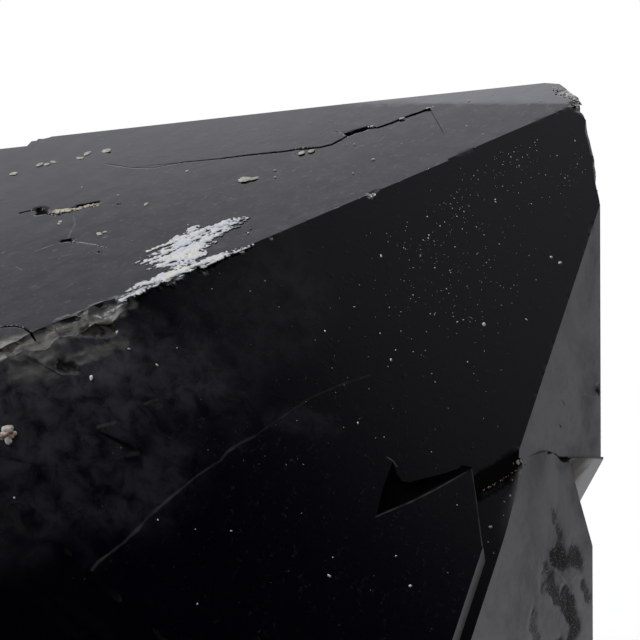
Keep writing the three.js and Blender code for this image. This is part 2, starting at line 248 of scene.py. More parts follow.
STAINS["upper"] = [
    # White crumbs along the long edge.
    ("crust", 0.3, 0.9, [(13.5, 36.6), (14.3, 39.6), (14.9, 41.2), (15.7, 43.2)]),
    ("crust", 0.55, 0.6, [(14.8, 41.4), (15.4, 43.2), (16.2, 45.8)]),
]
STAINS["grey"] = [
    # Clear etched hollows and duller clouds on the frosted grey face, and a painted shadow under its ledge.
    ("etched", 0.95, 1.0, [(0.3, 37.2), (2.3, 36.9), (4.4, 36.3), (5.4, 36.6)]),
    ("etched", 0.8, 0.9, [(0.3, 39.0), (1.5, 39.5), (2.0, 40.1)]),
    ("etched", 1.1, 1.0, [(3.4, 39.7), (5.0, 40.4), (6.3, 41.4), (5.2, 43.4), (3.0, 44.0)]),
    ("etched", 0.6, 0.8, [(6.5, 38.1), (7.8, 38.9)]),
    ("etched", 0.8, 0.6, [(-1.6, 42.2), (-0.9, 43.6)]),
    ("etched", 0.5, 0.6, [(-1.0, 33.9), (0.1, 34.9), (1.3, 35.6)]),
    ("etched", 0.5, 0.6, [(-0.9, 38.2), (-0.9, 40.0)]),
    ("dusky_and_shadow", 0.9, 0.5, [(-2.0, 33.6), (-0.3, 34.3), (1.5, 35.3)]),
    ("dusky_and_shadow", 1.2, 0.6, [(0.6, 13.6), (0.3, 16.0), (-0.6, 18.0)]),
    ("dusky_and_shadow", 1.3, 0.9, [(1.2, 20.6), (3.1, 21.5), (3.3, 24.4), (4.9, 26.2)]),
    # A painted shadow just under the ledge.
    ("dusky_and_shadow", 0.55, 1.0, [(-1.6, 30.1), (-0.4, 30.25), (0.8, 30.1)]),
    ("dusky_and_shadow", 1.6, 0.7, [(-3.2, 38.0), (-3.0, 41.0), (-4.4, 43.8)]),
    ("dusky_and_shadow", 2.2, 0.8, [(0.8, 37.0), (2.6, 40.0), (3.6, 43.6)]),
    # The broken notch under the ledge.
    ("dusky_and_shadow", 2.2, 1.0, [(3.2, 30.2), (5.2, 31.6), (6.8, 32.6)]),
]
# Chips: face, across, down, reach, depth, and how white the broken place is.
CHIPS = [
    ("black", -6.65, 20.43, 0.42, 0.17, 1.0), ("black", -1.84, 6.10, 0.14, 0.07, 0.8),
    ("black", -1.10, 3.88, 0.14, 0.07, 0.8), ("black", -4.80, 15.02, 0.12, 0.06, 0.8),
    ("black", -3.31, 10.44, 0.13, 0.07, 0.7), ("black", -11.52, 35.09, 0.34, 0.12, 0.9),
    ("black", -10.67, 31.78, 0.30, 0.09, 0.9), ("black", -9.71, 29.27, 0.16, 0.06, 0.8),
    ("black", 0.62, 0.50, 0.95, 0.30, 0.75), ("black", 0.45, 0.00, 0.80, 0.34, 0.9),
    ("upper", -2.30, -0.15, 0.95, 0.05, 0.9),
    ("grey", 4.70, 22.90, 0.60, 0.20, 0.0),
]
# Worn edges: the two faces, and how far the nibbling reaches.
EDGES = [("black", "upper", 0.04), ("black", "grey", 0.05), ("black", "right", 0.14), ("grey", "right", 0.12)]
FINEST = 0.075
TIP_REGION, SIDE_NEAR_TIP, SIDE_BEYOND = 66, 1.8, 4.0


def each_row(table):
    """Pairs of a face and one of its rows."""
    return [(face, row) for face, rows in table.items() for row in rows]


def edge_reach(points, first, second):
    """How far a point on either of two faces is from the edge where they meet."""
    a, b = place_on(first, points)[2], place_on(second, points)[2]
    return np.where(np.minimum(np.abs(a), np.abs(b)) < 0.9, np.maximum(np.abs(a), np.abs(b)), 1e3)


def wanted_edge(points):
    """Longest triangle side wanted at each point: fine where the face carries relief, then
    growing with the distance from it."""
    near_tip = np.linalg.norm(points - TIP, axis=1) < TIP_REGION
    wanted = np.where(near_tip, SIDE_NEAR_TIP, SIDE_BEYOND)
    for face in ("upper", "black", "grey"):
        across, down, depth = place_on(face, points)
        near = np.flatnonzero(np.abs(depth) < 0.9)
        places = np.stack([across[near], down[near]], 1)
        for kind, half_width, _, line in MARKS[face] + STAINS[face]:
            if kind in ("crack", "pale", "cut"):
                fine = max(FINEST, 0.5 * half_width)
            else:
                fine = 0.17 if kind in ("haze", "crust", "hollow") else 0.42
            low, high = np.min(line, 0) - half_width - 2.2, np.max(line, 0) + half_width + 2.2
            boxed = np.flatnonzero(((places > low) & (places < high)).all(1))
            away = line_distance(places[boxed], line) - 1.4 * half_width
            at = near[boxed]
            wanted[at] = np.minimum(wanted[at], fine + 0.55 * np.maximum(away, 0))
    for face, across, down, reach, _, _ in CHIPS:
        away = np.linalg.norm(points - on_face(face, across, down), axis=1) - reach
        wanted = np.minimum(wanted, max(0.085, 0.2 * reach) + 0.5 * np.maximum(away, 0))
    for first, second, _ in EDGES:
        wanted = np.minimum(wanted, 0.20 + 0.6 * edge_reach(points, first, second))
    return wanted


def face_normals(points, triangles):
    """Outward direction of each triangle, and twice its area."""
    a, b, c = points[triangles].transpose(1, 0, 2)
    flat = np.cross(b - a, c - a)
    size = np.maximum(np.linalg.norm(flat, axis=1, keepdims=True), 1e-12)
    return flat / size, size


def evened(points, triangles, rounds):
    """Two triangles of one plane share a side. Where the angles across from it add up to more
    than half a turn, the side gives way to the other diagonal of their four-sided shape, so that
    no triangle stays needlessly thin. Each round turns the worst side of each triangle."""
    for _ in range(rounds):
        start, end = triangles.ravel(), np.roll(triangles, -1, axis=1).ravel()
        key = np.minimum(start, end) * len(points) + np.maximum(start, end)
        order = np.argsort(key, kind="stable")
        twice = np.flatnonzero(key[order][1:] == key[order][:-1])
        side, back = order[twice], order[twice + 1]
        this, that = side // 3, back // 3
        a, b = start[side], end[side]
        c, d = triangles[this, (side + 2) % 3], triangles[that, (back + 2) % 3]
        spread = 0.0
        for corner in (c, d):
            x, y = points[a] - points[corner], points[b] - points[corner]
            spread = spread + (x * y).sum(1) / np.maximum(np.linalg.norm(np.cross(x, y), axis=1), 1e-12)
        normals, size = face_normals(points, triangles)
        longest = np.linalg.norm(points[end] - points[start], axis=1).reshape(-1, 3).max(1)
        sliver = size[:, 0] < 0.003 * longest
        in_plane = ((normals[this] * normals[that]).sum(1) > 0.999999) | sliver[this] | sliver[that]
        diagonal = np.minimum(c, d) * len(points) + np.maximum(c, d)
        worth = np.flatnonzero((start[back] == b) & in_plane & (spread < -1e-6))
        worth = worth[~np.isin(diagonal[worth], key)]
        if not len(worth):
            break
        worth = worth[np.argsort(spread[worth], kind="stable")]
        rank, first = np.arange(len(worth)), np.full(len(triangles), len(worth))
        np.minimum.at(first, this[worth], rank)
        np.minimum.at(first, that[worth], rank)
        worth = worth[(first[this[worth]] == rank) & (first[that[worth]] == rank)]
        worth = worth[np.unique(diagonal[worth], return_index=True)[1]]
        triangles = triangles.copy()
        triangles[this[worth]] = np.stack([a, d, c], 1)[worth]
        triangles[that[worth]] = np.stack([d, b, c], 1)[worth]
    return triangles


def refined(points, triangles, wanted, rounds):
    """Each round halves the sides that are longer than wanted there, longest first, and splits
    every triangle into two, three or four at its new middle points."""
    for _ in range(rounds):
        sides = triangles[:, [[0, 1], [1, 2], [2, 0]]]
        key = sides.min(2) * len(points) + sides.max(2)
        pairs, side_of = np.unique(key, return_inverse=True)
        side_of = side_of.reshape(-1, 3)
        ends = np.stack([pairs // len(points), pairs % len(points)], 1)
        length = np.linalg.norm(points[ends[:, 0]] - points[ends[:, 1]], axis=1)
        middle = points[ends].mean(1)
        longest = np.zeros(len(pairs))
        np.maximum.at(longest, side_of.ravel(), np.repeat(length[side_of].max(1), 3))
        split = (length > FINEST) & (length > 0.6 * longest)
        split[split] = length[split] > wanted(middle[split])
        if not split.any():
            break
        number = np.full(len(pairs), -1)
        number[split] = len(points) + np.arange(split.sum())
        points = np.concatenate([points, middle[split]])
        cut = number[side_of]
        count = (cut >= 0).sum(1)
        # One or two cut sides: turn each triangle so that the cut sides come first.
        first = np.where(count == 1, np.argmax(cut >= 0, 1), (np.argmin(cut >= 0, 1) + 1) % 3)
        order = (first[:, None] + np.arange(3)) % 3
        corner = np.take_along_axis(triangles, order, 1)
        cut = np.take_along_axis(cut, order, 1)
        one, two, three = count == 1, count == 2, count == 3
        made = [triangles[count == 0]]
        a, b, c = corner[one].T
        m = cut[one][:, 0]
        made += [np.stack([a, m, c], 1), np.stack([m, b, c], 1)]
        a, b, c = corner[two].T
        m, n = cut[two][:, 0], cut[two][:, 1]
        short = np.linalg.norm(points[a] - points[n], axis=1) < np.linalg.norm(points[m] - points[c], axis=1)
        made += [np.stack([m, b, n], 1)]
        made += [np.stack([a, m, np.where(short, n, c)], 1), np.stack([np.where(short, a, m), n, c], 1)]
        a, b, c = corner[three].T
        m, n, k = cut[three].T
        made += [np.stack(t, 1) for t in ((a, m, k), (m, b, n), (k, n, c), (m, n, k))]
        triangles = evened(points, np.concatenate(made), 2)
    return points, triangles


def point_normals(points, triangles):
    """Outward direction at each point: the sum of its triangles' normals, each by its area."""
    normals, size = face_normals(points, triangles)
    total = np.zeros_like(points)
    for k in range(3):
        np.add.at(total, triangles[:, k], normals * size)
    return total / np.maximum(np.linalg.norm(total, axis=1, keepdims=True), 1e-12)


def mesh_piece(name, points, faces, sharp=None):
    """An object at the origin from points in millimetres and arrays of corner numbers."""
    mesh = bpy.data.meshes.new(name)
    mesh.from_pydata((points * 0.001).tolist(), [], [row for rows in faces for row in rows.tolist()])
    mesh.update()
    if sharp is not None:
        mesh.shade_smooth()
        mesh.set_sharp_from_angle(angle=math.radians(sharp))
    piece = bpy.data.objects.new(name, mesh)
    bpy.context.scene.collection.objects.link(piece)
    return piece


def solid_node(name):
    """The points, in millimetres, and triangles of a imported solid, its doubled points merged."""
    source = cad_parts[name].data
    source.calc_loop_triangles()
    points = np.empty(len(source.vertices) * 3)
    source.vertices.foreach_get("co", points)
    triangles = np.empty(len(source.loop_triangles) * 3, dtype=np.int64)
    source.loop_triangles.foreach_get("vertices", triangles)
    points = points.reshape(-1, 3) * 1000.0
    _, kept, merged = np.unique(np.round(points, 3), axis=0, return_index=True, return_inverse=True)
    triangles = merged.reshape(-1)[triangles].reshape(-1, 3)
    turned_round = np.roll(triangles, 1, axis=1)
    return points[kept], triangles[(triangles != turned_round).all(1)]


def laid_flat(points):
    """Points that lie within a rounding error of the planes of one, two or three faces, moved by
    the shortest step onto all of them at once."""
    normals = np.array([rows[0] for rows in FACES.values()])
    off = np.stack([-place_on(face, points)[2] for face in FACES], 1)
    weight = np.abs(off) < 0.0006
    squares = np.einsum("pf,fi,fj->pij", weight, normals, normals)
    pull = np.einsum("pf,pf,fi->pi", weight, off, normals)
    return points - np.einsum("pij,pj->pi", np.linalg.pinv(squares, rcond=1e-6), pull)


body, faces = solid_node("quartz_point")
body = laid_flat(body)
faces = evened(body, faces, 40)
body, faces = refined(body, faces, wanted_edge, 16)
outward = point_normals(body, faces)
facing, _ = face_normals(body, faces)
print("crystal triangles", len(faces))

# Relief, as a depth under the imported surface, and what each part of the surface is like.
depth = np.zeros(len(body))
kinds = ("crack", "pale", "cut", "haze", "hollow", "cloud", "crust", "painted_shade", "etched", "dusky_and_shadow",
         "bruise")
looks = {kind: np.zeros(len(body)) for kind in kinds}
for face, (kind, half_width, strength, line) in each_row(MARKS):
    across, down, under = place_on(face, body)
    wander = 0.4 * half_width * drift(body, 0.5, 3)
    away = line_distance(np.stack([across, down], 1), line) + wander
    near = (1 - step(0.45 * half_width, 1.3 * half_width, away)) * (np.abs(under) < 0.5)
    patchy = 1.0 if kind == "crack" else 0.75 + 0.5 * drift(body, 0.6, 4)
    looks[kind] = np.maximum(looks[kind], near * strength * patchy)
    if kind == "crack":
        depth = np.maximum(depth, near * strength * min(0.9 * half_width, 0.3))
for face, (kind, half_width, strength, line) in each_row(STAINS):
    across, down, under = place_on(face, body)
    wander = half_width * (0.45 * drift(body, 1.1 * half_width, 5) + 0.25 * drift(body, 0.45 * half_width, 6))
    away = line_distance(np.stack([across, down], 1), line) + wander
    soft = 1.7 if kind in ("cloud", "dusky_and_shadow") else 1.25
    near = (1 - step(0.45 * half_width, soft * half_width, away)) * (under < 2.9) * (under > -0.6)
    looks[kind] = np.maximum(looks[kind], near * strength)
rough = np.abs(drift(body, 0.45, 8))
depth = np.maximum(depth, looks["etched"] * (0.04 + 0.08 * rough))
depth = np.maximum(depth, looks["haze"] * (0.02 + 0.10 * np.abs(drift(body, 0.7, 9))))
depth = np.maximum(depth, looks["hollow"] * (0.16 + 0.08 * rough))

# Towards the black face the ledge of the grey face runs out in a gentle ramp.
across, down, under = place_on("grey", body)
below = down - np.interp(across, [-7.0, -3.2, -0.6, 1.1], [31.4, 29.8, 29.9, 29.3])
ramp = (1 - step(-6.2, -2.5, across)) * (1 - step(0, 7.0, below)) * (below > -0.4) * (under < 0)
body = body - (np.clip(-under, 0, 0.36) * ramp)[:, None] * FACES["grey"][0]

nibble = 0.75 * drift(body, 0.9, 11) + 0.5 * drift(body, 0.33, 12)
for first, second, reach in EDGES:
    bite = step(0.1, 0.7, nibble) * reach
    near = np.clip(1 - edge_reach(body, first, second) / (0.1 + 1.4 * bite), 0, 1)
    depth = np.maximum(depth, 0.8 * bite * near)
for face, across, down, reach, sunk, white in CHIPS:
    away = np.linalg.norm(body - on_face(face, across, down), axis=1)
    away = away + 0.3 * reach * drift(body, 0.5 * reach, 13)
    near = 1 - step(0.4 * reach, reach, away)
    depth = np.maximum(depth, sunk * near * (0.8 + 0.4 * drift(body, 0.25, 14)))
    looks["bruise"] = np.maximum(looks["bruise"], near * white)
depth = depth - 0.05 * looks["crust"] * (0.6 + 0.8 * drift(body, 0.3, 15))

body = body - outward * depth[:, None]
crystal = mesh_piece("crystal", body, [faces], sharp=24)
for name, values in looks.items():
    crystal.data.attributes.new(name, "FLOAT", "POINT").data.foreach_set("value", np.clip(values, 0, 1))

# Whole triangles belong to the frosted grey face, the dusty upper face, the striped prism, the
# cut or the broken places.
centres = body[faces].mean(1)
along_face = facing @ np.array([rows[0] for rows in FACES.values()]).T
grey_side = (facing @ FACES["grey"][0] > 0.995) & (np.abs(place_on("grey", centres)[2]) < 0.62)
prism_side = along_face[:, 6:].max(1) > 0.995
cut_side = facing[:, 2] < -0.99
broken_side = (along_face.max(1) < 0.99) & ~cut_side
dusty_side = facing @ FACES["upper"][0] > 0.99
sides = {"frosted": grey_side, "dusty": dusty_side, "prism": prism_side, "ground": cut_side,
         "broken": broken_side}
for name, side in sides.items():
    crystal.data.attributes.new(name, "FLOAT", "FACE").data.foreach_set("value", side.astype(float))
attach(crystal, "root")
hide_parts("quartz_point")


class Wire:
    """An output of a shader node that takes part in sums; each sum adds a Math node."""

    def __init__(self, tree, socket):
        self.tree, self.socket = tree, socket

    def sum_with(self, operation, *others):
        values = dict(zip(("Value", "Value_001", "Value_002"), others))
        return add_node(self.tree, "ShaderNodeMath", {"operation": operation}, values)["Value"]

    def __add__(self, other):
        return self.sum_with("ADD", self, other)

    def __radd__(self, other):
        return self.sum_with("ADD", other, self)

    def __sub__(self, other):
        return self.sum_with("SUBTRACT", self, other)

    def __rsub__(self, other):
        return self.sum_with("SUBTRACT", other, self)

    def __mul__(self, other):
        return self.sum_with("MULTIPLY", self, other)

    def __rmul__(self, other):
        return self.sum_with("MULTIPLY", other, self)


def add_node(tree, kind, settings, values):
    """Adds a node: its settings first, then numbers, colours or wires to its inputs. The result
    holds its outputs by name."""
    node = tree.nodes.new(kind)
    for key, setting in settings.items():
        if key == "stops":
            ramp = node.color_ramp
            ramp.interpolation = settings.get("interpolation", "EASE")
            for number, (at, level) in enumerate(setting):
                stop = ramp.elements[number] if number < 2 else ramp.elements.new(at)
                stop.position = at
                stop.color = (level, level, level, 1) if np.isscalar(level) else (*level, 1)
        elif key != "interpolation":
            setattr(node, key, setting)
    for key, value in values.items():
        into = next(s for s in node.inputs if s.identifier == key or s.name == key)
        if isinstance(value, Wire):
            tree.links.new(value.socket, into)
        elif isinstance(value, tuple) and into.type == "RGBA":
            into.default_value = (*value, 1)
        else:
            into.default_value = value
    return {key: Wire(tree, s) for s in node.outputs for key in (s.identifier, s.name)}


def new_finish(name):
    """An empty material's node tree and its object coordinates."""
    finish = bpy.data.materials.new(name)
    finish.use_nodes = True
    finish.node_tree.nodes.clear()
    place = add_node(finish.node_tree, "ShaderNodeTexCoord", {}, {})["Object"]
    return finish, finish.node_tree, place


def surface_of(tree, shader):
    """Sends a shader to the material's output."""
    add_node(tree, "ShaderNodeOutputMaterial", {}, {"Surface": shader})


def stretched(tree, place, first, second, factors):
    """Coordinates counted along two square directions and the third one square to both, each
    divided by its factor."""
    turn = Matrix(np.stack([first, second, np.cross(first, second)], 1).tolist()).to_euler()
    values = {"Vector": place, "Rotation": tuple(turn), "Scale": factors}
    return add_node(tree, "ShaderNodeMapping", {"vector_type": "TEXTURE"}, values)["Vector"]


def noise(tree, place, size, detail=3.0, roughness=0.55, distortion=0.0):
    """Noise whose lumps are about this many millimetres."""
    values = {"Vector": place, "Scale": 1000.0 / size, "Detail": detail, "Roughness": roughness}
    return add_node(tree, "ShaderNodeTexNoise", {}, values | {"Distortion": distortion})["Fac"]


def ease(tree, value, low, high):
    """0 under low, 1 over high, with a smooth rise."""
    values = {"Value": value, "From Min": low, "From Max": high}
    return add_node(tree, "ShaderNodeMapRange", {"interpolation_type": "SMOOTHSTEP"}, values)["Result"]


def blend(tree, share, first, second):
    """The first colour where share is 0 and the second where it is 1."""
    values = {"Factor_Float": share, "A_Color": first, "B_Color": second}
    return add_node(tree, "ShaderNodeMix", {"data_type": "RGBA"}, values)["Result_Color"]


def measured(tree, name):
    """A value kept on the mesh."""
    return add_node(tree, "ShaderNodeAttribute", {"attribute_name": name}, {})["Fac"]


RIDGE = np.cross(FACES["black"][0], FACES["upper"][0])
RIDGE /= np.linalg.norm(RIDGE)
LONG_AXIS = POSED @ np.array([0.0, 0.0, 1.0])
STRIAE = FACES["upper"][1] * -0.40 - FACES["upper"][2] * 0.92
ETCH_RUN = FACES["grey"][1] * -0.45 + FACES["grey"][2] * 0.89

morion, tree, place = new_finish("morion")
crack, pale, cut, haze, hollow, cloud, crust, painted_shade, etched, dusky_and_shadow, bruise = (
    measured(tree, kind) for kind in kinds)
frosted, dusty, prism, ground, broken = (
    measured(tree, name) for name in ("frosted", "dusty", "prism", "ground", "broken"))
fine_lumps = noise(tree, place, 0.35, 4.0, 0.62)
wide_lumps = noise(tree, place, 4.5, 4.0, 0.6, 0.6)
grain = noise(tree, place, 0.12, 2.0)
lumps = noise(tree, place, 1.6, 5.0, 0.62, 0.4)
along_ridge = stretched(tree, place, RIDGE, FACES["black"][0], (4.5, 1.0, 1.0))
ridge_streaks = noise(tree, along_ridge, 0.75, 4.0, 0.6, 0.3)
along_ridge = stretched(tree, place, RIDGE, FACES["black"][0], (2.6, 1.0, 1.0))
crumbs = noise(tree, along_ridge, 0.30, 4.0, 0.65)
along_striae = stretched(tree, place, STRIAE, FACES["upper"][0], (7.0, 1.0, 1.0))
striae = noise(tree, along_striae, 1.3, 4.0, 0.6)
along_etching = stretched(tree, place, ETCH_RUN, FACES["grey"][0], (4.0, 1.0, 1.0))
etch_streaks = noise(tree, along_etching, 0.42, 4.0, 0.65, 0.5)
round_prism = stretched(tree, place, LONG_AXIS, FACES["prism_0"][1], (1.0, 14.0, 14.0))
growth = noise(tree, round_prism, 1.1, 4.0, 0.65)
mottle = ease(tree, wide_lumps, 0.36, 0.66)
eaten = ease(tree, etched + 1.5 * (etch_streaks - 0.5) + 1.2 * (fine_lumps - 0.5), 0.10, 1.05)
edge_crust = ease(tree, crust + 2.6 * (crumbs - 0.62), 0.40, 0.80)
weathered = haze * ease(tree, ridge_streaks, 0.28, 0.62)

colour = blend(tree, mottle * 0.6, (0.0005, 0.0008, 0.0030), (0.0012, 0.0015, 0.0036))
dust = dusty * ease(tree, 0.35 * striae + 0.65 * lumps, 0.38, 0.64)
colour = blend(tree, dust, colour, (0.012, 0.012, 0.0125))
colour = blend(tree, cloud * ease(tree, lumps, 0.25, 0.75), colour, (0.064, 0.065, 0.073))
colour = blend(tree, weathered, colour, (0.135, 0.131, 0.113))
colour = blend(tree, haze * ease(tree, fine_lumps, 0.52, 0.72) * 0.5, colour, (0.20, 0.196, 0.175))
colour = blend(tree, hollow * 0.85, colour, (0.018, 0.0165, 0.012))
cloudy = 0.35 * lumps + 0.30 * fine_lumps + 0.35 * mottle
film = ease(tree, cloudy, 0.30, 0.68)
colour = blend(tree, frosted * (0.45 + 0.55 * film), colour, (0.060, 0.059, 0.059))
# Duller clouds of the frosted face, and the painted shadow under its ledge, in dark grey.
colour = blend(tree, dusky_and_shadow * frosted * ease(tree, lumps, 0.30, 0.62) * 0.8, colour, (0.008, 0.0078, 0.0078))
colour = blend(tree, eaten * 0.85, colour, (0.0100, 0.0095, 0.0092))
colour = blend(tree, eaten * ease(tree, grain, 0.65, 0.72), colour, (0.60, 0.57, 0.53))
colour = blend(tree, broken * (1 - frosted) * (1 - haze) * 0.7, colour, (0.0060, 0.0055, 0.0050))
colour = blend(tree, broken * dusky_and_shadow * ease(tree, lumps, 0.30, 0.60), colour, (0.088, 0.064, 0.048))
colour = blend(tree, prism * ease(tree, growth, 0.45, 0.75) * 0.5, colour, (0.0050, 0.0052, 0.0060))
colour = blend(tree, ground, colour, (0.020, 0.0195, 0.020))
colour = blend(tree, pale, colour, (0.115, 0.112, 0.110))
colour = blend(tree, bruise * ease(tree, fine_lumps, 0.40, 0.56), colour, (0.42, 0.41, 0.38))
colour = blend(tree, crust * ease(tree, crumbs, 0.30, 0.62) * 0.6, colour, (0.085, 0.086, 0.090))
colour = blend(tree, edge_crust, colour, (0.38, 0.385, 0.40))
# Cracks and cuts in black; on the grey face this also paints the shadow line along the foot of the ledge.
colour = blend(tree, ease(tree, crack + cut, 0.1, 0.7), colour, (0.0004, 0.0004, 0.0006))

dull = 0.05 + 0.05 * lumps + frosted * (0.20 + 0.08 * mottle + 0.08 * fine_lumps)
dull = dull + 0.3 * (eaten + haze + ground + crust)
dull = dull + 0.15 * (cloud + broken + bruise) + prism * 0.12 * growth
height = lumps * 0.25 + fine_lumps * (0.03 + 0.35 * frosted + haze + eaten + 0.5 * broken)
height = height + grain * (0.02 + 0.8 * eaten + 0.6 * ground) + growth * prism * 0.8 + striae * dusty * 0.2
bump = add_node(tree, "ShaderNodeBump", {}, {"Strength": 0.25, "Distance": 0.00004, "Height": height})
relief = bump["Normal"]
glassy = add_node(tree, "ShaderNodeBsdfPrincipled", {},
                  {"Base Color": colour, "Roughness": dull, "IOR": 1.54, "Normal": relief})["BSDF"]
matt = add_node(tree, "ShaderNodeBsdfPrincipled", {},
                {"Base Color": colour, "Roughness": 0.9, "IOR": 1.15, "Normal": relief})["BSDF"]
hidden = crack + cut * 0.8 + eaten * 0.24 + hollow * 0.5 + edge_crust * 0.6
# Painted shade turns the broken facets it covers dark and matt; the pale streaks make them partly matt.
hidden = hidden + (painted_shade + haze * 0.55) * broken
veiled = frosted * (0.21 - 0.18 * film + dusky_and_shadow * 0.34 * lumps) + broken * dusky_and_shadow * 0.65
covered = ease(tree, hidden + veiled, 0.0, 0.85)
skin = add_node(tree, "ShaderNodeMixShader", {}, {"Fac": covered, "Shader": glassy, "Shader_001": matt})
surface_of(tree, skin["Shader"])
crystal.data.materials.append(morion)

# The white crust on the ridge.
# A thin chalky smear of crusted mineral that lies on the upper face beside its long edge, in
# streaks along that edge. It grew there and holds by itself.
CRUST_START, CRUST_RUN = (8.0, 20.2), (0.3511, 0.9363)
CRUST_OUTLINE = [
    (9.9, 38.6), (8.3, 37.5), (7.4, 36.0), (6.5, 34.6), (6.1, 33.1), (6.0, 31.2), (6.6, 29.3),
    (7.9, 30.1), (8.3, 31.7), (9.0, 32.8), (10.5, 33.4), (11.9, 34.4), (12.3, 36.0), (12.2, 37.4),
    (11.5, 38.5),
]
EDGE_OUTLINE = [
    (14.8, 41.6), (13.3, 39.5), (12.3, 37.7), (12.1, 36.2), (11.8, 34.2), (11.6, 32.6), (11.4, 30.4),
    (12.2, 30.8), (12.6, 32.8), (13.2, 34.5), (13.7, 36.5), (14.2, 38.1), (14.9, 39.8), (15.4, 41.4),
]


def inside(places, outline):
    """Distance of places (n x 2) from a closed outline, and minus that distance outside it. A
    place is inside when a level line from it crosses the outline an odd number of times."""
    crossings = np.zeros(len(places), dtype=int)
    x, y = places.T
    for (ax, ay), (bx, by) in zip(outline, outline[1:] + outline[:1]):
        level = (ay > y) != (by > y)
        crossings += level & (x < ax + (y - ay) * (bx - ax) / (by - ay))
    away = line_distance(places, outline + outline[:1])
    return np.where(crossings % 2 == 1, away, -away)


def closed_relief(top, bottom, kept):
    """A closed shell over a grid of points: the kept cells of the top, the same cells of the
    bottom turned over, and a wall along every side that only one kept cell has."""
    rows, columns = top.shape[:2]
    number = np.arange(rows * columns).reshape(rows, columns)
    cells = np.stack([number[:-1, :-1], number[1:, :-1], number[1:, 1:], number[:-1, 1:]], -1)[kept]
    under = cells[:, ::-1] + rows * columns
    start, end = cells.ravel(), np.roll(cells, -1, axis=1).ravel()
    key, back = start * rows * columns + end, end * rows * columns + start
    rim = ~np.isin(key, back)
    start, end = start[rim], end[rim]
    walls = np.stack([end, start, start + rows * columns, end + rows * columns], 1)
    points = np.concatenate([top.reshape(-1, 3), bottom.reshape(-1, 3)])
    quads = np.concatenate([cells, under, walls])
    used, quads = np.unique(quads, return_inverse=True)
    return used, points[used], quads.reshape(-1, 4)


along, aside = np.meshgrid(np.arange(6.0, 22.5, 0.065), np.arange(0.15, 8.4, 0.08), indexing="ij")
across = CRUST_START[0] + CRUST_RUN[0] * along - CRUST_RUN[1] * aside
down = CRUST_START[1] + CRUST_RUN[1] * along + CRUST_RUN[0] * aside
places = np.stack([across.ravel(), down.ravel()], 1)
flat = np.stack([across, down, 0 * across], -1).reshape(-1, 3)
streaky = np.stack([along / 3.6, aside, 0 * along], -1).reshape(-1, 3)
within = np.maximum(inside(places, CRUST_OUTLINE), 1.1 * inside(places, EDGE_OUTLINE))
within = within + 0.35 * drift(flat, 1.2, 20)
streak = 0.7 * drift(streaky, 0.55, 21) + 0.5 * drift(streaky, 0.24, 22)
crumb = drift(flat, 0.17, 23)
cover = 0.62 * step(-0.5, 1.1, within) + 0.95 * streak + 0.50 * crumb - 0.22 - step(0.0, 0.6, -within)
height = 0.010 + 0.07 * np.clip(cover, 0, 0.8) + 0.016 * crumb
cover, height = cover.reshape(across.shape), height.reshape(across.shape)
kept = (cover[:-1, :-1] + cover[1:, :-1] + cover[1:, 1:] + cover[:-1, 1:]) > 0
top = on_face("upper", across, down, np.maximum(height, 0.01))
bottom = on_face("upper", across, down, -0.03)
used, shell, quads = closed_relief(top, bottom, kept)
ridge_crust = mesh_piece("ridge_crust", shell, [quads[:, ::-1]], sharp=50)
thickness = np.tile(np.clip(1.5 * cover.ravel(), 0, 1), 2)[used]
ridge_crust.data.attributes.new("thick", "FLOAT", "POINT").data.foreach_set("value", thickness)
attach(ridge_crust, "root")

chalk, tree, place = new_finish("chalky_crust")
tint = noise(tree, place, 1.1, 3.0)
speck = noise(tree, place, 0.22, 3.0)
colour = blend(tree, ease(tree, tint, 0.42, 0.62), (0.42, 0.438, 0.475), (0.50, 0.49, 0.47))
stained = ease(tree, speck, 0.56, 0.72) * ease(tree, tint, 0.48, 0.6) * 0.7
colour = blend(tree, stained, colour, (0.40, 0.30, 0.18))
thin = ease(tree, measured(tree, "thick") + 1.1 * speck, 1.10, 0.55)
colour = blend(tree, thin, colour, (0.075, 0.079, 0.090))
dry = add_node(tree, "ShaderNodeBsdfPrincipled", {}, {"Base Color": colour, "Roughness": 0.8})
surface_of(tree, dry["BSDF"])
ridge_crust.data.materials.append(chalk)

# Grains and dust.
# Small pale mineral grains that sit in the cracks and on the faces, and crumbs of bruised quartz
# at the tip. Each is a lump of a millimetre or less, grown or stuck where it lies.


